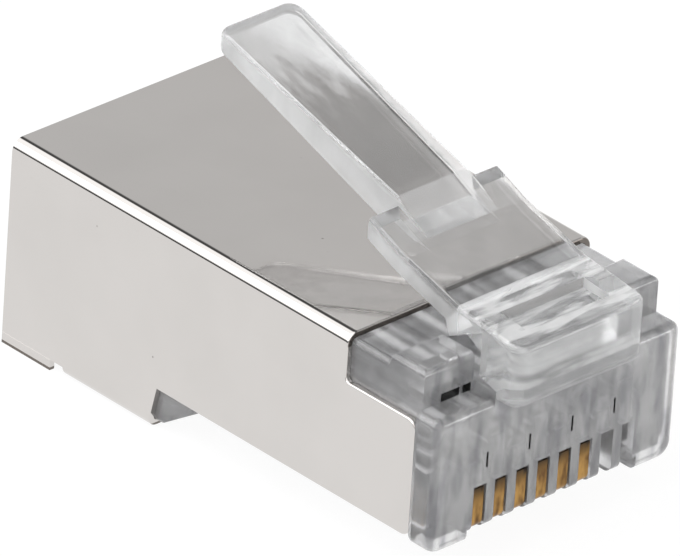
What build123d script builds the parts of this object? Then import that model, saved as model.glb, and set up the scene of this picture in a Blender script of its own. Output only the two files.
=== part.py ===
# Shielded modular plug for round network cable: a clear moulded housing with a snap latch,
# a folded metal shield round its rear, and blade contacts in the slots of its nose.
# X is the width, the nose points to -Y, the cable enters from +Y and the latch is on top.
import os

from build123d import *

# Overall size
plug_length = 22.95
plug_width = 11.7
shield_height = 8.2
fit_gap = 0.02

# Shield sheet
sheet = 0.22
bend_radius = 0.26
rim_radius = 0.08
panel_reach = 3.6
panel_step_drop = 1.84
panel_bottom_z = 1.72
panel_corner_radius = 0.45
step_corner_radius = 0.2
notch_to_rear = 7.98
notch_lean = 0.36
flange_to_rear = 3.17
tail_length = 2.53
relief_depth = 0.42
seam_gap = 0.4

# Housing shell
nose_side_rise = 0.06
nose_setback = 1.0
nose_length = 1.05
nose_top_drop = 1.4
nose_top_radius = 0.4
nose_bottom_radius = 0.65
nose_rim_radius = 0.35
shoulder_depth = 1.04
pad_length = 1.78
pad_rise = 0.3
pad_edge_radius = 0.26
window_height = 0.34
window_depth = 1.2
window_spans = [(3.32, 3.74), (3.88, 4.77)]
rear_inset = 0.3
ramp_length = 2.15
skirt_drop = 0.32
bay_side_gap = 0.1

# Cable inlet, funnel and wire channels
inlet_wall = 0.95
inlet_floor = 0.8
inlet_roof = 0.85
inlet_depth = 6.1
inlet_corner_radius = 0.9
funnel_length = 7.5
funnel_margin = 0.25
wire_hole_radius = 0.48
wire_row_rise = 0.85
wire_row_share = 0.537
wire_hole_setback = 0.9

# Contact row
positions = 8
empty_positions = 2
contact_pitch = 1.02
slot_width = 0.6
slot_length = 3.1
slot_mouth_height = 1.82
slot_mouth_depth = 0.55
rib_edge_radius = 0.35
slit_width = 0.09
slit_height = 0.62
slit_depth = 0.3
slit_rise = 0.96
slit_shift = 0.25
blade_side_gap = 0.06
blade_length = 2.6
blade_lift = 0.05
blade_front_inset = 0.05
blade_front_height = 1.65
blade_step = 0.75
blade_corner_radius = 0.35
tooth_height = 0.6

# Latch lever
latch_width = 6.28
hinge_lift = 0.35
hinge_web = 0.42
hinge_gap = 0.02
block_height = 2.44
block_corner_radius = 0.6
block_edge_radius = 0.24
block_foot_radius = 0.28
pocket_width = 4.0
pocket_length = 1.3
pocket_setback = 0.87
pocket_depth = 0.2
ridge_setback = 3.2
ridge_rise = 0.33
plate_thickness = 0.8
plate_length = 3.05
plate_rise = 0.86
wing_length = 1.5
wing_rise = 0.62
heel_length = 0.88
heel_rise = 0.25
notch_web = 0.42
notch_inset = 0.7
foot_setback = 0.245
foot_depth = 1.25
foot_lead = 0.25
arm_root_width = 3.4
arm_tip_width = 3.74
arm_ramp_length = 1.65
arm_ramp_rise = 0.93
arm_length = 9.31
arm_rise = 2.64
arm_root_thickness = 1.5
arm_tip_thickness = 0.8
tip_corner_radius = 0.55
arm_edge_radius = 0.18

# Places that several pieces share
rear_y = plug_length / 2
latch_front_y = -plug_length / 2
half_width = plug_width / 2
body_half_width = half_width - sheet - fit_gap
panel_step_z = shield_height - panel_step_drop
notch_y = rear_y - notch_to_rear
flange_front_y = notch_y + notch_lean
flange_rear_y = rear_y - flange_to_rear
nose_width = plug_width + 2 * nose_side_rise
nose_front_y = latch_front_y + nose_setback
nose_back_y = nose_front_y + nose_length
panel_front_y = nose_back_y + fit_gap
shield_front_y = panel_front_y + panel_reach
nose_bottom_z = panel_bottom_z - skirt_drop
nose_top_z = shield_height - nose_top_drop
nose_height = nose_top_z - nose_bottom_z
roof_z = shield_height - sheet - fit_gap
floor_z = sheet + fit_gap
step_y = nose_front_y + shoulder_depth
pad_top_z = roof_z + pad_rise
housing_rear_y = rear_y - rear_inset
hinge_z = nose_top_z + hinge_lift
wire_row_z = nose_bottom_z + wire_row_share * nose_height
upper_row_z = wire_row_z + wire_row_rise
first_x = -contact_pitch * (positions - 1) / 2
row_width = contact_pitch * positions


def position_x(index):
    return first_x + contact_pitch * index


def wire_z(index):
    # Neighbouring wires lie in two rows, so that their round channels clear each other
    return upper_row_z if index % 2 else wire_row_z


# Clear housing
with BuildPart() as housing:
    # Side outline of the body inside the shield, with the pads in front of it
    with BuildSketch(Plane.YZ):
        with BuildLine():
            Polyline(
                (housing_rear_y, floor_z),
                (housing_rear_y, roof_z),
                (step_y + pad_length, roof_z),
                (step_y + pad_length, pad_top_z),
                (step_y, pad_top_z),
                (step_y, nose_top_z),
                (nose_back_y, nose_top_z),
                (nose_back_y, panel_bottom_z),
                (notch_y - ramp_length, panel_bottom_z),
                (notch_y, floor_z),
                close=True,
            )
        make_face()
    extrude(amount=body_half_width, both=True)
    bent_edges = housing.edges().filter_by(Axis.Y)
    roof_edges = bent_edges.filter_by(lambda edge: abs(edge.center().Z - roof_z) < fit_gap)
    floor_edges = bent_edges.filter_by(lambda edge: abs(edge.center().Z - floor_z) < fit_gap)
    fillet(roof_edges + floor_edges, bend_radius)
    fillet(housing.edges().group_by(Axis.Z)[-1], pad_edge_radius)

    # Nose block, a little proud of the shield's sides
    with BuildSketch(Plane.XZ.offset(-nose_back_y)) as nose_outline:
        with Locations((0, (nose_bottom_z + nose_top_z) / 2)):
            Rectangle(nose_width, nose_height)
        fillet(nose_outline.vertices().group_by(Axis.Y)[0], nose_bottom_radius)
        fillet(nose_outline.vertices().group_by(Axis.Y)[-1], nose_top_radius)
    extrude(amount=nose_length)
    fillet(housing.faces().sort_by(Axis.Y)[0].edges(), nose_rim_radius)

    # Bay between the pads that the latch lever's foot moves in, open to the top
    with BuildSketch(Plane.XY.offset(hinge_z)):
        with Locations((0, step_y + pad_length / 2)):
            Rectangle(latch_width + 2 * bay_side_gap, pad_length)
    extrude(amount=pad_top_z - hinge_z, mode=Mode.SUBTRACT)

    # Two small windows at the foot of each pad
    with BuildSketch(Plane.XZ.offset(-step_y - window_depth)):
        for near_x, far_x in window_spans:
            with Locations(
                ((near_x + far_x) / 2, nose_top_z + window_height / 2),
                (-(near_x + far_x) / 2, nose_top_z + window_height / 2),
            ):
                Rectangle(far_x - near_x, window_height)
    extrude(amount=window_depth, mode=Mode.SUBTRACT)

    # Seat of the latch hinge on the nose
    with BuildSketch(Plane.XZ.offset(-step_y)):
        with Locations((0, hinge_z)):
            Rectangle(latch_width, hinge_lift + nose_top_radius, align=(Align.CENTER, Align.MAX))
    extrude(amount=shoulder_depth)

    # Relief under the contact ribs, with their front edge rounded
    with BuildSketch(Plane.YZ):
        with BuildLine():
            Line((nose_front_y, nose_bottom_z), (nose_front_y, panel_bottom_z + rib_edge_radius))
            rib_arc_centre = (nose_front_y + rib_edge_radius, panel_bottom_z + rib_edge_radius)
            CenterArc(rib_arc_centre, rib_edge_radius, 180, 90)
            Polyline(
                (nose_front_y + rib_edge_radius, panel_bottom_z),
                (nose_front_y + slot_length, panel_bottom_z),
                (nose_front_y + slot_length, nose_bottom_z),
                (nose_front_y, nose_bottom_z),
            )
        make_face()
    extrude(amount=row_width / 2, both=True, mode=Mode.SUBTRACT)

    # One slot and one wire channel for each position
    mouth_top_z = panel_bottom_z + slot_mouth_height
    for index in range(positions):
        with BuildSketch(Plane.YZ.offset(position_x(index))):
            with BuildLine():
                Polyline(
                    (nose_front_y, nose_bottom_z),
                    (nose_front_y, mouth_top_z),
                    (nose_front_y + slot_mouth_depth, mouth_top_z),
                    (nose_front_y + slot_mouth_depth, wire_z(index)),
                    (nose_front_y + slot_length, wire_z(index)),
                    (nose_front_y + slot_length, nose_bottom_z),
                    close=True,
                )
            make_face()
        extrude(amount=slot_width / 2, both=True, mode=Mode.SUBTRACT)

    # Narrow slit in the front above every other slot
    slit_z = mouth_top_z + slit_rise
    with BuildSketch(Plane.XZ.offset(-nose_front_y - slit_depth)):
        with Locations([(position_x(index) + slit_shift, slit_z) for index in range(0, positions, 2)]):
            Rectangle(slit_width, slit_height)
    extrude(amount=slit_depth, mode=Mode.SUBTRACT)

    funnel_start_y = housing_rear_y - inlet_depth
    funnel_end_y = funnel_start_y - funnel_length
    with BuildSketch(Plane.XZ.offset(-funnel_end_y)):
        with Locations([(position_x(index), wire_z(index)) for index in range(positions)]):
            Circle(wire_hole_radius)
    extrude(amount=funnel_end_y - nose_front_y - wire_hole_setback, mode=Mode.SUBTRACT)

    # Cable inlet, then the funnel that leads the wires to their channels
    inlet_width = 2 * (body_half_width - inlet_wall)
    inlet_bottom_z = floor_z + inlet_floor
    inlet_top_z = roof_z - inlet_roof
    inlet_centre_z = (inlet_bottom_z + inlet_top_z) / 2
    with BuildSketch(Plane.XZ.offset(-housing_rear_y)):
        with Locations((0, inlet_centre_z)):
            RectangleRounded(inlet_width, inlet_top_z - inlet_bottom_z, inlet_corner_radius)
    extrude(amount=inlet_depth, mode=Mode.SUBTRACT)
    with BuildSketch(Plane.XZ.offset(-funnel_start_y)):
        with Locations((0, inlet_centre_z)):
            RectangleRounded(inlet_width, inlet_top_z - inlet_bottom_z, inlet_corner_radius)
    with BuildSketch(Plane.XZ.offset(-funnel_end_y)):
        with Locations((0, (wire_row_z + upper_row_z) / 2)):
            RectangleRounded(
                row_width + 2 * funnel_margin,
                wire_row_rise + 2 * (wire_hole_radius + funnel_margin),
                wire_hole_radius,
            )
    loft(mode=Mode.SUBTRACT)
housing.part.label = "housing"
export_step(housing.part, "parts/housing.step")

# Folded shield, one sheet with its two edges turned in under the housing
with BuildPart() as shield:
    outer_radius = bend_radius + sheet
    with BuildSketch(Plane.XZ.offset(-rear_y)):
        with Locations((0, shield_height / 2)):
            RectangleRounded(plug_width, shield_height, outer_radius)
            RectangleRounded(
                plug_width - 2 * sheet, shield_height - 2 * sheet, bend_radius, mode=Mode.SUBTRACT
            )
    extrude(amount=rear_y - panel_front_y)

    # Side outline: short top plate, longer side panels, turned-in edges only behind the notch
    with BuildSketch(Plane.YZ) as side_outline:
        with BuildLine():
            Polyline(
                (rear_y, 0),
                (rear_y, shield_height),
                (shield_front_y, shield_height),
                (shield_front_y, panel_step_z),
                (panel_front_y, panel_step_z),
                (panel_front_y, panel_bottom_z),
                (notch_y, panel_bottom_z),
                (flange_front_y, 0),
                close=True,
            )
        make_face()
        fillet(side_outline.vertices().group_by(Axis.X)[0], panel_corner_radius)
        step_corner = side_outline.vertices().sort_by_distance((shield_front_y, panel_step_z))[0]
        fillet(step_corner, step_corner_radius)
    extrude(amount=half_width, both=True, mode=Mode.INTERSECT)

    # Rolled outer edge of the cut, from the top plate down to the notch
    front_edges = shield.edges().filter_by(lambda edge: edge.center().Y < notch_y)
    outer_edges = front_edges.filter_by(
        lambda edge: max(abs(edge.center().X) - half_width, edge.center().Z - shield_height) > -rim_radius
    )
    long_edges = outer_edges.filter_by(Axis.Y)
    bend_lines = long_edges.filter_by(lambda edge: edge.center().Z > panel_step_z + sheet)
    fillet([edge for edge in outer_edges if edge not in bend_lines], rim_radius)

    # Seam between the turned-in edges, and the bend relief behind them
    tail_front_y = rear_y - tail_length
    with BuildSketch(Plane.XY):
        with Locations((0, (flange_front_y + flange_rear_y) / 2)):
            Rectangle(seam_gap, flange_rear_y - flange_front_y + 2 * notch_lean)
        with Locations((0, (flange_rear_y + rear_y) / 2)):
            Rectangle(plug_width, rear_y - flange_rear_y)
    extrude(amount=relief_depth, mode=Mode.SUBTRACT)

    # Straight lower edge of the side panels behind the relief
    with BuildSketch(Plane.XY):
        with Locations((0, (tail_front_y + rear_y) / 2)):
            Rectangle(plug_width, tail_length)
            Rectangle(plug_width - 2 * sheet, tail_length, mode=Mode.SUBTRACT)
    extrude(amount=relief_depth)
shield.part.label = "shield"
export_step(shield.part, "parts/shield.step")

# Blade contacts in the filled positions, taller under the upper wire row
blade_thickness = slot_width - 2 * blade_side_gap
blade_front_y = nose_front_y + blade_front_inset
blade_bottom_z = panel_bottom_z + blade_lift
for index in range(positions - empty_positions):
    shoulder_z = wire_z(index) - wire_hole_radius - fit_gap
    tooth_width = (blade_length - blade_step) / 3
    with BuildPart() as contact:
        with BuildSketch(Plane.YZ.offset(position_x(index))) as blade:
            with BuildLine():
                Polyline(
                    (blade_front_y, blade_bottom_z),
                    (blade_front_y, blade_bottom_z + blade_front_height),
                    (blade_front_y + blade_step, blade_bottom_z + blade_front_height),
                    (blade_front_y + blade_step, shoulder_z),
                    (blade_front_y + blade_step + tooth_width / 2, shoulder_z + tooth_height),
                    (blade_front_y + blade_step + tooth_width, shoulder_z),
                    (blade_front_y + blade_length - tooth_width, shoulder_z),
                    (blade_front_y + blade_length - tooth_width / 2, shoulder_z + tooth_height),
                    (blade_front_y + blade_length, shoulder_z),
                    (blade_front_y + blade_length, blade_bottom_z),
                    close=True,
                )
            make_face()
            fillet(blade.vertices().group_by(Axis.Y)[0], blade_corner_radius)
        extrude(amount=blade_thickness / 2, both=True)
    node = f"contact_{index + 1}"
    contact.part.label = node
    export_step(contact.part, f"parts/{node}.step")

# Latch lever, hung on the nose at its front
with BuildPart() as latch_lever:
    block_bottom_z = hinge_z - hinge_web
    block_top_z = block_bottom_z + block_height
    hinge_face_y = nose_front_y - hinge_gap
    heel_y = hinge_face_y + heel_length
    ridge_y = latch_front_y + ridge_setback
    ridge_z = block_top_z + ridge_rise
    crease_y = ridge_y + plate_length
    crease_z = ridge_z + plate_rise
    wing_y = crease_y + wing_length
    wing_z = crease_z + wing_rise
    foot_y = ridge_y + foot_setback
    foot_z = ridge_z - foot_depth
    foot_root_y = foot_y + foot_lead
    foot_root_z = crease_z - plate_thickness - (crease_y - foot_root_y) * plate_rise / plate_length
    arm_root_y = crease_y + arm_ramp_length
    arm_root_z = crease_z + arm_ramp_rise
    tip_y = arm_root_y + arm_length
    tip_z = arm_root_z + arm_rise

    # Finger arm with its ramp: side outline, then its plan with rounded tip corners
    with BuildSketch(Plane.YZ):
        with BuildLine():
            Polyline(
                (crease_y, crease_z),
                (arm_root_y, arm_root_z),
                (tip_y, tip_z),
                (tip_y, tip_z - arm_tip_thickness),
                (arm_root_y, arm_root_z - arm_root_thickness),
                (crease_y, crease_z - plate_thickness),
                close=True,
            )
        make_face()
    extrude(amount=arm_tip_width / 2, both=True)
    with BuildSketch(Plane.XY) as arm_plan:
        with BuildLine():
            Polyline(
                (-arm_root_width / 2, crease_y),
                (-arm_tip_width / 2, tip_y),
                (arm_tip_width / 2, tip_y),
                (arm_root_width / 2, crease_y),
                close=True,
            )
        make_face()
        fillet(arm_plan.vertices().group_by(Axis.Y)[-1], tip_corner_radius)
    extrude(amount=tip_z, mode=Mode.INTERSECT)
    arm_rim = latch_lever.edges().filter_by(lambda edge: edge.center().Z > arm_root_z)
    fillet(arm_rim.filter_by(lambda edge: edge.center().Y > arm_root_y), arm_edge_radius)

    # Front block, sloping plate and wings, as wide as the latch
    with BuildSketch(Plane.YZ):
        with BuildLine():
            Polyline(
                (latch_front_y, block_bottom_z),
                (latch_front_y, block_top_z),
                (ridge_y, ridge_z),
                (crease_y, crease_z),
                (wing_y, wing_z),
                (wing_y, wing_z - plate_thickness),
                (crease_y, crease_z - plate_thickness),
                (foot_root_y, foot_root_z),
                (foot_y, foot_z),
                (heel_y, hinge_z + heel_rise),
                (hinge_face_y, hinge_z),
                (hinge_face_y, block_bottom_z),
                close=True,
            )
        make_face()
    extrude(amount=latch_width / 2, both=True)
    front_face = latch_lever.faces().sort_by(Axis.Y)[0]
    fillet(front_face.edges().filter_by(Axis.Z), block_corner_radius)
    front_rims = latch_lever.faces().sort_by(Axis.Y)[0].edges().filter_by(Axis.X).sort_by(Axis.Z)
    fillet(front_rims[0], block_foot_radius)
    top_faces = latch_lever.faces().filter_by(lambda face: face.normal_at().Z > 0.5)
    side_edges = top_faces.edges().filter_by(lambda edge: abs(edge.center().X) > latch_width / 2 - fit_gap)
    fillet(side_edges + front_rims[-1:], block_edge_radius)

    # Notch in each side, between the block and the foot
    for side_x in (latch_width / 2, notch_inset - latch_width / 2):
        with BuildSketch(Plane.YZ.offset(side_x)):
            with BuildLine():
                Polyline(
                    (foot_y, foot_z),
                    (heel_y, ridge_z - notch_web),
                    (heel_y, hinge_z + heel_rise),
                    close=True,
                )
            make_face()
        extrude(amount=-notch_inset, mode=Mode.SUBTRACT)

    # Shallow pocket in the top of the block
    with BuildSketch(Plane.XY.offset(block_top_z - pocket_depth)):
        with Locations((0, latch_front_y + pocket_setback + pocket_length / 2)):
            Rectangle(pocket_width, pocket_length)
    extrude(amount=ridge_rise + pocket_depth, mode=Mode.SUBTRACT)
latch_lever.part.label = "latch_lever"
export_step(latch_lever.part, "parts/latch_lever.step")
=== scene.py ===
import bpy
from mathutils import Matrix, Vector

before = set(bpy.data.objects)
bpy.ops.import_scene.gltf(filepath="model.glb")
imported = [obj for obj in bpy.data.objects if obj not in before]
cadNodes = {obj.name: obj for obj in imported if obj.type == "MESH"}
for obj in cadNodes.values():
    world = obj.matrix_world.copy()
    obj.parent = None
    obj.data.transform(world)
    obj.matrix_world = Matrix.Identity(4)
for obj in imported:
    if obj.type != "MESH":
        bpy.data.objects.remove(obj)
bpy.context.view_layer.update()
bpy.ops.object.select_all(action="DESELECT")
print("frame loaded:", len(cadNodes), "nodes")

black = (0, 0, 0, 1)
white = (1, 1, 1, 1)


# node helpers, shared by the finishes, the floor and the world
def startFinish(name):
    finish = bpy.data.materials.new(name)
    finish.use_nodes = True
    finish.node_tree.nodes.clear()
    return finish, finish.node_tree


def feed(tree, socket, value):
    # a socket takes a number, a colour or another node's output
    if isinstance(value, (int, float, tuple)):
        socket.default_value = value
    else:
        tree.links.new(value, socket)


def addNode(tree, kind, place, **settings):
    # the node's own options first, then its sockets by name
    node = tree.nodes.new(kind)
    node.location = place
    for key, value in settings.items():
        if hasattr(node, key):
            setattr(node, key, value)
        else:
            feed(tree, node.inputs[key.replace("_", " ")], value)
    return node


def addParts(tree, place, vector):
    return addNode(tree, "ShaderNodeSeparateXYZ", place, Vector=vector).outputs


def addNoise(tree, coords, place, scale, detail, stretch=(1, 1, 1)):
    # noise on object coordinates, squeezed along one axis where the finish has a grain
    mapping = addNode(tree, "ShaderNodeMapping", (place[0] - 200, place[1]),
                      Vector=coords.outputs["Object"], Scale=stretch)
    noise = addNode(tree, "ShaderNodeTexNoise", place, Vector=mapping.outputs["Vector"],
                    Scale=scale, Detail=detail)
    return noise.outputs["Fac"]


def addRamp(tree, source, place, spots, colours):
    ramp = addNode(tree, "ShaderNodeValToRGB", place, Fac=source)
    stops = ramp.color_ramp.elements
    while len(stops) < len(spots):
        stops.new(0.5)
    for stop, spot, colour in zip(stops, spots, colours):
        stop.position = spot
        stop.color = colour
    return ramp.outputs["Color"]


def addRange(tree, source, place, toLow, toHigh, fromLow=0, fromHigh=1):
    span = addNode(tree, "ShaderNodeMapRange", place, Value=source, From_Min=fromLow,
                   From_Max=fromHigh, To_Min=toLow, To_Max=toHigh)
    return span.outputs["Result"]


def addStep(tree, source, place, start, stop):
    # 0 at the first value, 1 at the second, straight between
    return addRange(tree, source, place, 0, 1, start, stop)


def addMath(tree, operation, place, first, second=None):
    math = addNode(tree, "ShaderNodeMath", place, operation=operation)
    feed(tree, math.inputs[0], first)
    if second is not None:
        feed(tree, math.inputs[1], second)
    return math.outputs[0]


def addBlend(tree, place, share, first, second):
    # the first value where the share is 0, the second where it is 1
    mix = addNode(tree, "ShaderNodeMix", place, data_type="FLOAT",
                  Factor=share, A=first, B=second)
    return mix.outputs["Result"]


def addColourMix(tree, place, share, first, second):
    mix = addNode(tree, "ShaderNodeMix", place, data_type="RGBA", Factor=share)
    feed(tree, mix.inputs[6], first)   # the colour sockets share their names with the others
    feed(tree, mix.inputs[7], second)
    return mix.outputs[2]


def addBump(tree, place, height, strength, depth):
    bump = addNode(tree, "ShaderNodeBump", place, Height=height, Strength=strength, Distance=depth)
    return bump.outputs["Normal"]


# clear moulded plastic; lengths are in metres
clearPlastic = {
    "ior": 1.58,
    "coatRough": 0.05,
    "endTurn": (0.3, 0.5),          # from polished to frosted as a face turns to the front or rear
    "blotchBand": (0.38, 0.6),
    "streakStretch": (1, 1, 0.3),   # streaks run upright
    "flowDepth": 0.0002,
}
# the thin latch is clear, and frosted here and there
latchPlastic = {
    **clearPlastic,
    "name": "clear_latch",
    "tint": (0.91, 0.913, 0.916, 1),
    "cloudy": (0.82, 0.823, 0.826, 1),
    "shade": (0.68, 0.683, 0.686, 1),   # painted shade on the upper side of the finger arm
    "shadeDark": (0.6, 0.603, 0.606, 1),
    "shadeFrom": -0.0037,      # where the painted shade lies along the plug
    "shadeTo": 0.0012,
    "shadeFade": 0.0006,       # how softly it starts, and how softly it ends
    "shadeEnd": 0.0016,
    "topTurn": (0.85, 0.95),   # only faces turned up as far as this get the painted shade
    "ragged": 0.0045,           # how far the end of the painted shade is torn by noise
    "raggedScale": 2600,
    "raggedStretch": (1, 0.12, 1),
    "tipFade": 0.0024,         # the hazy tip starts over this length
    "tipHaze": 0.55,
    "tipWhite": 0.2,
    "clear": 0.98,             # share of the light that goes through
    "milky": 0.9,              # the same on frosted faces
    "roughLow": 0.04,
    "roughHigh": 0.1,
    "frost": 0.16,             # extra roughness of frosted faces
    "sideTurn": (0.6, 0.9),    # what counts as a side, and as the top of the block
    "sideFrost": 0.12,         # more roughness on the sides
    "sideWhite": 0.1,          # how white the sides and the ends behind the block are
    "blockTo": -0.0083,        # the block, in front of this, is a little hazy
    "blockHaze": 0.4,
    "blockFar": 0.0005,        # its side faces beyond this, across the plug, are frosted too
    "blockFade": 0.0003,
    "farWhite": 0.3,
    "strokes": 0.55,           # how white the strokes on the block's top are
    "strokeScale": 1500,
    "strokeStretch": (0.2, 1, 1),
    "strokeBand": (0.44, 0.58),
    "streaks": 1100,
    "streakBand": (0.36, 0.58),
    "flowScale": 260,          # slow waves of the moulding
    "flowBump": 0.12,
    "haze": 2600,              # fine cloudiness
    "coat": 0.0,
}
# the thick housing looks hazier
housingPlastic = {
    **clearPlastic,
    "name": "clear_housing",
    "tint": (0.94, 0.94, 0.94, 1),
    "cloudy": (0.45, 0.45, 0.48, 1),
    "shade": (0.92, 0.92, 0.93, 1),     # painted shade on sides and tops, blotched at random towards the dark one
    "shadeDark": (0.54, 0.54, 0.55, 1),
    "clear": 0.85,
    "milky": 0.77,
    "roughLow": 0.14,
    "roughHigh": 0.28,
    "frost": 0.02,
    "streaks": 1700,
    "streakBand": (0.34, 0.58),
    "flowScale": 600,
    "flowBump": 0.16,
    "haze": 1800,
    "coat": 0.5,               # gloss of the outer skin
    # painted shade colour for the walls of deep openings
    "dark": (0.012, 0.012, 0.012, 1),
    "hollows": [               # centre and reach of deep openings: pad windows, then nose slits
        ((0.004045, -0.00882, 0.00697), (0.00076, 0.0006, 0.00018)),
        ((-0.004045, -0.00882, 0.00697), (0.00076, 0.0006, 0.00018)),
        ((-0.00332, -0.01032, 0.0045), (0.00006, 0.00015, 0.00032)),
        ((-0.00128, -0.01032, 0.0045), (0.00006, 0.00015, 0.00032)),
        ((0.00076, -0.01032, 0.0045), (0.00006, 0.00015, 0.00032)),
        ((0.0028, -0.01032, 0.0045), (0.00006, 0.00015, 0.00032)),
    ],
}


def addHollowShade(tree, spot, colour, setup):
    # painted shade: small openings are deep and unlit, so their walls are painted dark
    for row, (centre, reach) in enumerate(setup["hollows"]):
        height = 900 + 500 * row
        inside = None
        for axis in range(3):
            near = addNode(tree, "ShaderNodeMath", (-200, height - 160 * axis), operation="COMPARE")
            feed(tree, near.inputs[0], spot[axis])
            feed(tree, near.inputs[1], centre[axis])
            feed(tree, near.inputs[2], reach[axis])
            if inside is None:
                inside = near.outputs[0]
            else:
                inside = addMath(tree, "MULTIPLY", (0, height - 160 * axis), inside, near.outputs[0])
        colour = addColourMix(tree, (250, height), inside, colour, setup["dark"])
    return colour


def addBlockMarks(tree, coords, spot, facing, frosted, setup):
    # the block in front is hazy, and its far half and all behind it have frosted sides
    fade = setup["blockFade"]
    ahead = addStep(tree, spot["Y"], (-300, -700), setup["blockTo"], setup["blockTo"] - fade)
    behind = addMath(tree, "SUBTRACT", (-100, -800), 1.0, ahead)
    across = addStep(tree, spot["X"], (-300, -300), setup["blockFar"], setup["blockFar"] + fade)
    far = addMath(tree, "MULTIPLY", (-150, -300), across, ahead)
    sideways = addMath(tree, "ABSOLUTE", (-500, -450), facing["X"])
    anySide = addStep(tree, sideways, (-300, -450), *setup["sideTurn"])
    farSide = addMath(tree, "MULTIPLY", (50, -350), anySide, far)
    rearSide = addMath(tree, "MULTIPLY", (-100, -450), anySide, behind)
    side = addMath(tree, "MAXIMUM", (50, -450), rearSide, farSide)
    # sides and ends are a little white as well
    ends = addMath(tree, "MULTIPLY", (50, -800), frosted, behind)
    dulled = addMath(tree, "MAXIMUM", (200, -800), ends, side)
    whitened = addMath(tree, "MULTIPLY", (350, -800), dulled, setup["sideWhite"])
    farWhite = addMath(tree, "MULTIPLY", (200, -350), farSide, setup["farWhite"])
    whitened = addMath(tree, "MAXIMUM", (450, -850), whitened, farWhite)
    frosted = addMath(tree, "MAXIMUM", (50, -600), frosted, side)
    blockHaze = addMath(tree, "MULTIPLY", (-100, -700), ahead, setup["blockHaze"])
    frosted = addMath(tree, "MAXIMUM", (200, -650), frosted, blockHaze)
    # white strokes across the top of the block
    brushed = addNoise(tree, coords, (-300, -1800), setup["strokeScale"], detail=3,
                       stretch=setup["strokeStretch"])
    stroke = addStep(tree, brushed, (-100, -1800), *setup["strokeBand"])
    level = addStep(tree, facing["Z"], (-300, -1950), *setup["sideTurn"])
    blockTop = addMath(tree, "MULTIPLY", (50, -1900), ahead, level)
    strokes = addMath(tree, "MULTIPLY", (200, -1800), stroke, blockTop)
    strokeWhite = addMath(tree, "MULTIPLY", (350, -1800), strokes, setup["strokes"])
    whitened = addMath(tree, "MAXIMUM", (500, -900), whitened, strokeWhite)
    return frosted, whitened, side


def addArmShadeAndTip(tree, coords, spot, facing, frosted, whitened, setup):
    # painted shade on the finger arm, its end torn by noise towards its hazy tip
    shadeTo = setup["shadeTo"]
    upward = addStep(tree, facing["Z"], (-300, -1000), *setup["topTurn"])
    start = addStep(tree, spot["Y"], (-300, -1200),
                    setup["shadeFrom"], setup["shadeFrom"] + setup["shadeFade"])
    ragged = addNoise(tree, coords, (-700, -1400), setup["raggedScale"], detail=4,
                     stretch=setup["raggedStretch"])
    torn = addRange(tree, ragged, (-500, -1400), -setup["ragged"], setup["ragged"])
    along = addMath(tree, "ADD", (-400, -1300), spot["Y"], torn)
    end = addStep(tree, along, (-300, -1400), shadeTo + setup["shadeEnd"], shadeTo)
    length = addMath(tree, "MULTIPLY", (-100, -1200), start, end)
    shaded = addMath(tree, "MULTIPLY", (100, -1000), upward, length)
    tip = addStep(tree, along, (-300, -1600), shadeTo, shadeTo + setup["tipFade"])
    tipHaze = addMath(tree, "MULTIPLY", (-100, -1500), tip, setup["tipHaze"])
    frosted = addMath(tree, "MAXIMUM", (100, -1300), frosted, tipHaze)
    tipWhite = addMath(tree, "MULTIPLY", (-100, -1650), tip, setup["tipWhite"])
    whitened = addMath(tree, "MAXIMUM", (600, -900), whitened, tipWhite)
    return frosted, whitened, shaded


def makeClearPlastic(setup):
    finish, tree = startFinish(setup["name"])
    isLatch = "blockTo" in setup
    coords = addNode(tree, "ShaderNodeTexCoord", (-1100, 0))
    flow = addNoise(tree, coords, (-200, -300), setup["flowScale"], detail=2)
    haze = addNoise(tree, coords, (-200, 100), setup["haze"], detail=4)
    streak = addNoise(tree, coords, (-200, 400), setup["streaks"], detail=3,
                      stretch=setup["streakStretch"])
    # faces to the front and rear are frosted; on the housing the others get painted shade, on the latch
    # only the upper side of the arm does, and the latch has more marks
    spot = addParts(tree, (-900, -900), coords.outputs["Object"])
    shape = addNode(tree, "ShaderNodeNewGeometry", (-900, -600))
    facing = addParts(tree, (-700, -600), shape.outputs["Normal"])
    turned = addMath(tree, "ABSOLUTE", (-500, -600), facing["Y"])
    frosted = addStep(tree, turned, (-300, -600), *setup["endTurn"])
    if isLatch:
        frosted, whitened, side = addBlockMarks(tree, coords, spot, facing, frosted, setup)
        frosted, whitened, shaded = addArmShadeAndTip(tree, coords, spot, facing, frosted, whitened, setup)
    else:
        shaded = addMath(tree, "SUBTRACT", (-100, -700), 1.0, frosted)
    tone = addRamp(tree, streak, (50, 400), setup["streakBand"], (setup["cloudy"], setup["tint"]))
    blotch = addRamp(tree, flow, (50, 700), setup["blotchBand"],
                     (setup["shadeDark"], setup["shade"]))
    colour = addColourMix(tree, (250, 600), shaded, tone, blotch)
    if "hollows" in setup:
        colour = addHollowShade(tree, spot, colour, setup)
    gloss = addRange(tree, haze, (100, 100), setup["roughLow"], setup["roughHigh"])
    frost = addRange(tree, frosted, (100, -500), 0, setup["frost"])
    rough = addMath(tree, "ADD", (350, 50), gloss, frost)
    clear = addRange(tree, frosted, (300, -800), setup["clear"], setup["milky"])
    if isLatch:
        sideRough = addMath(tree, "MULTIPLY", (350, -100), side, setup["sideFrost"])
        rough = addMath(tree, "ADD", (450, 50), rough, sideRough)
        clear = addMath(tree, "SUBTRACT", (450, -800), clear, whitened)
    bump = addBump(tree, (300, -200), flow, setup["flowBump"], setup["flowDepth"])
    shader = addNode(tree, "ShaderNodeBsdfPrincipled", (600, 0), Base_Color=colour,
                     Roughness=rough, IOR=setup["ior"], Transmission_Weight=clear,
                     Coat_Weight=setup["coat"], Coat_Roughness=setup["coatRough"], Normal=bump)
    addNode(tree, "ShaderNodeOutputMaterial", (900, 0), Surface=shader.outputs["BSDF"])
    return finish


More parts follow.
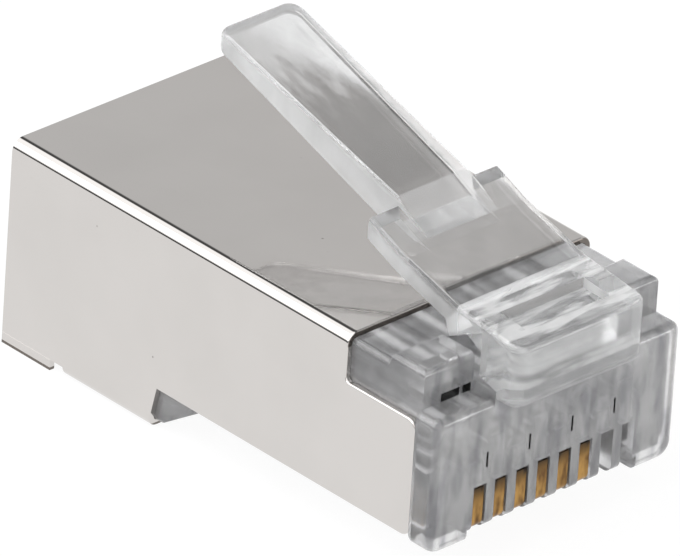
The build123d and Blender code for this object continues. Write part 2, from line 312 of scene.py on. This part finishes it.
# bright plated sheet of the shield
nickelSheet = {
    "light": (0.645, 0.621, 0.602, 1),
    "dull": (0.625, 0.602, 0.583, 1),
    "cloudScale": 220,
    "cloudBand": (0.35, 0.6),
    "roughLow": 0.03,
    "roughHigh": 0.06,
    "grainScale": 900,
    "grainStretch": (1, 0.08, 1),
    "grainBump": 0.02,
    "grainDepth": 0.0001,
    "specks": (0.18, 0.16, 0.14, 1),
    "speckScale": 1500,
    "speckBand": (0.77, 0.8),
    # colour of the painted shade on the front edge and the painted dark reflection on the lower bend
    "paintedEdgeDark": (0.17, 0.15, 0.135, 1),
    "paintedEdgeDarkTo": -0.00579,     # the painted shade on the top plate's front edge ends here, in metres
    "paintedEdgeDarkFrom": 0.0077,     # and starts above this height
    "paintedFootDarkTo": 0.00011,     # the lower bend carries a painted dark reflection up to this height
}


def makeNickelSheet():
    finish, tree = startFinish("nickel_sheet")
    coords = addNode(tree, "ShaderNodeTexCoord", (-700, 0))
    cloud = addNoise(tree, coords, (-250, 300), nickelSheet["cloudScale"], detail=3)
    tone = addRamp(tree, cloud, (0, 300), nickelSheet["cloudBand"],
                   (nickelSheet["dull"], nickelSheet["light"]))
    dust = addNoise(tree, coords, (-250, 0), nickelSheet["speckScale"], detail=2)
    speck = addRamp(tree, dust, (0, 0), nickelSheet["speckBand"], (black, white))
    colour = addColourMix(tree, (400, 200), speck, tone, nickelSheet["specks"])
    # painted shade on the front edge of the top plate, and a painted dark reflection along the lower
    # bend
    spot = addParts(tree, (-450, 600), coords.outputs["Object"])
    ahead = addMath(tree, "LESS_THAN", (-250, 600), spot["Y"], nickelSheet["paintedEdgeDarkTo"])
    above = addMath(tree, "GREATER_THAN", (-250, 750), spot["Z"], nickelSheet["paintedEdgeDarkFrom"])
    front = addMath(tree, "MULTIPLY", (-100, 650), ahead, above)
    foot = addMath(tree, "LESS_THAN", (-250, 900), spot["Z"], nickelSheet["paintedFootDarkTo"])
    paintedDark = addMath(tree, "MAXIMUM", (50, 700), front, foot)
    colour = addColourMix(tree, (600, 200), paintedDark, colour, nickelSheet["paintedEdgeDark"])
    grain = addNoise(tree, coords, (-250, -350), nickelSheet["grainScale"], detail=3,
                     stretch=nickelSheet["grainStretch"])
    rough = addRange(tree, grain, (200, -150), nickelSheet["roughLow"], nickelSheet["roughHigh"])
    bump = addBump(tree, (400, -350), grain, nickelSheet["grainBump"], nickelSheet["grainDepth"])
    shader = addNode(tree, "ShaderNodeBsdfPrincipled", (800, 0), Base_Color=colour, Metallic=1,
                     Roughness=rough, Normal=bump)
    addNode(tree, "ShaderNodeOutputMaterial", (1100, 0), Surface=shader.outputs["BSDF"])
    return finish


# gold plated blades
goldContact = {
    "bright": (0.46, 0.265, 0.082, 1),
    "worn": (0.15, 0.08, 0.03, 1),
    "stainScale": 2600,
    "stainStretch": (1, 1, 0.45),
    "stainBand": (0.35, 0.62),
    "slotShade": (0.03, 0.022, 0.016, 1),
    "slotShadeFrom": 0.0028,     # heights between which the painted shade darkens the blade, in metres
    "slotShadeTo": 0.0035,
    "slotShadeWave": 0.0006,     # how uneven they are
    "roughLow": 0.22,
    "roughHigh": 0.4,
    "brushScale": 3000,
    "brushStretch": (1, 1, 0.1),
    "brushBump": 0.1,
    "brushDepth": 0.0001,
}


def makeGoldContact():
    finish, tree = startFinish("gold_contact")
    coords = addNode(tree, "ShaderNodeTexCoord", (-600, 0))
    stain = addNoise(tree, coords, (-200, 200), goldContact["stainScale"], detail=4,
                     stretch=goldContact["stainStretch"])
    tone = addRamp(tree, stain, (100, 200), goldContact["stainBand"],
                   (goldContact["worn"], goldContact["bright"]))
    # painted shade: the blade is painted darker upwards, inside its slot
    spot = addParts(tree, (-400, 500), coords.outputs["Object"])
    uneven = addRange(tree, stain, (-100, 600), -goldContact["slotShadeWave"], goldContact["slotShadeWave"])
    height = addMath(tree, "ADD", (50, 500), spot["Z"], uneven)
    dark = addStep(tree, height, (200, 500), goldContact["slotShadeFrom"], goldContact["slotShadeTo"])
    colour = addColourMix(tree, (400, 300), dark, tone, goldContact["slotShade"])
    brush = addNoise(tree, coords, (-200, -150), goldContact["brushScale"], detail=3,
                     stretch=goldContact["brushStretch"])
    rough = addRange(tree, brush, (100, -150), goldContact["roughLow"], goldContact["roughHigh"])
    bump = addBump(tree, (300, -350), brush, goldContact["brushBump"], goldContact["brushDepth"])
    shader = addNode(tree, "ShaderNodeBsdfPrincipled", (600, 0), Base_Color=colour, Metallic=1,
                     Roughness=rough, Normal=bump)
    addNode(tree, "ShaderNodeOutputMaterial", (900, 0), Surface=shader.outputs["BSDF"])
    return finish


def dress(node, finish):
    slots = cadNodes[node].data.materials
    if len(slots) == 0:
        slots.append(finish)
    for index in range(len(slots)):
        slots[index] = finish


finishes = {
    "housing": makeClearPlastic(housingPlastic),
    "latch_lever": makeClearPlastic(latchPlastic),
    "shield": makeNickelSheet(),
}
goldFinish = makeGoldContact()
for name in cadNodes:
    dress(name, finishes.get(name, goldFinish))   # every other node is a contact
print("finishes assigned")


# pale floor, which keeps a soft shadow
floorSetup = {
    "size": 1.2,
    "level": -0.00002,
    "paint": (0.92, 0.92, 0.92, 1),
    "glow": 0.9,               # share of plain white where it is seen
    "glowLevel": 1.04,
}


def makeFloor():
    bpy.ops.mesh.primitive_plane_add(size=floorSetup["size"], location=(0, 0, floorSetup["level"]))
    floor = bpy.context.active_object
    floor.name = "floor"
    finish, tree = startFinish("floor_paint")
    paint = addNode(tree, "ShaderNodeBsdfDiffuse", (0, 0), Color=floorSetup["paint"])
    glow = addNode(tree, "ShaderNodeEmission", (0, -150), Strength=floorSetup["glowLevel"])
    path = addNode(tree, "ShaderNodeLightPath", (-400, 300)).outputs
    seen = addMath(tree, "MAXIMUM", (-200, 300), path["Is Camera Ray"], path["Is Glossy Ray"])
    seen = addMath(tree, "MAXIMUM", (0, 300), seen, path["Is Transmission Ray"])
    share = addMath(tree, "MULTIPLY", (150, 300), seen, floorSetup["glow"])
    mix = addNode(tree, "ShaderNodeMixShader", (300, 0), Fac=share)
    tree.links.new(paint.outputs[0], mix.inputs[1])
    tree.links.new(glow.outputs[0], mix.inputs[2])
    addNode(tree, "ShaderNodeOutputMaterial", (600, 0), Surface=mix.outputs[0])
    floor.data.materials.append(finish)


makeFloor()


# white world for the camera; what lights and mirrors in the part is a long soft box on the left
worldSetup = {
    "bands": [                 # angle across the plug, from the left horizon at 0 to the right one at 1
        (0.0, 0.07),
        (0.06, 0.07),
        (0.09, 1.15),
        (0.575, 1.15),
        (0.60, 0.07),
        (0.70, 0.07),
        (0.74, 0.54),
        (1.0, 0.52),
    ],
    "horizon": 1.5708,         # from straight up to the horizon, in radians
    "topLevel": 2,             # level of a pure white ramp
    "mirrorGain": 0.62,        # extra brightness of the soft box where metal mirrors it
    "frontGain": 1.35,         # light from the front, apart from what metal mirrors
    "frontFrom": -0.35,        # full in front of this, along the plug
    "frontTo": 0.1,
}


def makeWorld():
    world = bpy.data.worlds.new("studio")
    bpy.context.scene.world = world
    world.use_nodes = True
    tree = world.node_tree
    tree.nodes.clear()
    topLevel = worldSetup["topLevel"]
    path = addNode(tree, "ShaderNodeLightPath", (100, 300)).outputs
    coords = addNode(tree, "ShaderNodeTexCoord", (-800, 0))
    ray = addParts(tree, (-600, 0), coords.outputs["Generated"])
    angle = addMath(tree, "ARCTAN2", (-400, 0), ray["X"], ray["Z"])
    share = addStep(tree, angle, (-200, 0), -worldSetup["horizon"], worldSetup["horizon"])
    spots, levels = zip(*worldSetup["bands"])
    bands = addRamp(tree, share, (0, 0), spots, [(*(level / topLevel,) * 3, 1) for level in levels])
    front = addRange(tree, ray["Y"], (0, -300), worldSetup["frontGain"], 1,
                     worldSetup["frontFrom"], worldSetup["frontTo"])
    solid = addMath(tree, "SUBTRACT", (0, -600), 1.0, path["Is Transmission Ray"])
    mirrored = addMath(tree, "MULTIPLY", (150, -600), path["Is Glossy Ray"], solid)
    forward = addBlend(tree, (200, -300), mirrored, front, 1)
    level = addMath(tree, "MULTIPLY", (300, -100), bands, forward)
    gain = addRange(tree, path["Is Glossy Ray"], (300, -400),
                    topLevel, topLevel * (1 + worldSetup["mirrorGain"]))
    level = addMath(tree, "MULTIPLY", (400, -100), level, gain)
    strength = addBlend(tree, (550, 0), path["Is Camera Ray"], level, 1)
    back = addNode(tree, "ShaderNodeBackground", (700, 0), Strength=strength)
    addNode(tree, "ShaderNodeOutputWorld", (900, 0), Surface=back.outputs[0])


makeWorld()


# soft boxes: a large one on the left, and a small low one for edges at the front
softBoxes = {
    "leftBox": {
        "place": (-0.16, 0.05, 0.2),
        "aim": (0, 0, 0.004),
        "size": 0.3,
        "power": 0.42,
        "through": True,       # seen through the clear plastic or not
    },
    "frontBox": {
        "place": (0.186, -0.231, 0.03),
        "aim": (0, -0.008, 0.006),
        "size": 0.07,
        "power": 0.075,
        "through": False,
    },
}


def makeLights():
    for name, setup in softBoxes.items():
        bpy.ops.object.light_add(type="AREA", location=setup["place"])
        lamp = bpy.context.active_object
        lamp.name = name
        lamp.data.shape = "SQUARE"
        lamp.data.size = setup["size"]
        lamp.data.energy = setup["power"]
        lamp.visible_transmission = setup["through"]
        aim = Vector(setup["aim"]) - Vector(setup["place"])
        lamp.rotation_euler = aim.to_track_quat("-Z", "Y").to_euler()


makeLights()
print("studio ready")


# camera at the photograph's angle, worked out from a 680 by 556 picture
cameraSetup = {
    "place": (-0.36744, -0.36644, 0.30049),
    "right": (0.72860, -0.68245, 0.05836),
    "up": (0.30116, 0.39572, 0.86759),
    "lens": 901.4,
    "sensor": 36,
    "nearest": 0.01,
    "farthest": 5,
}


def makeCamera():
    bpy.ops.object.camera_add()
    camera = bpy.context.active_object
    camera.name = "photo_camera"
    right = Vector(cameraSetup["right"])
    up = Vector(cameraSetup["up"])
    back = right.cross(up)
    turn = Matrix((right, up, back)).transposed().to_4x4()
    camera.matrix_world = Matrix.Translation(Vector(cameraSetup["place"])) @ turn
    camera.data.sensor_width = cameraSetup["sensor"]
    camera.data.lens = cameraSetup["lens"]
    camera.data.clip_start = cameraSetup["nearest"]
    camera.data.clip_end = cameraSetup["farthest"]
    bpy.context.scene.camera = camera


makeCamera()
bpy.context.scene.view_settings.view_transform = "Standard"
print("camera set")
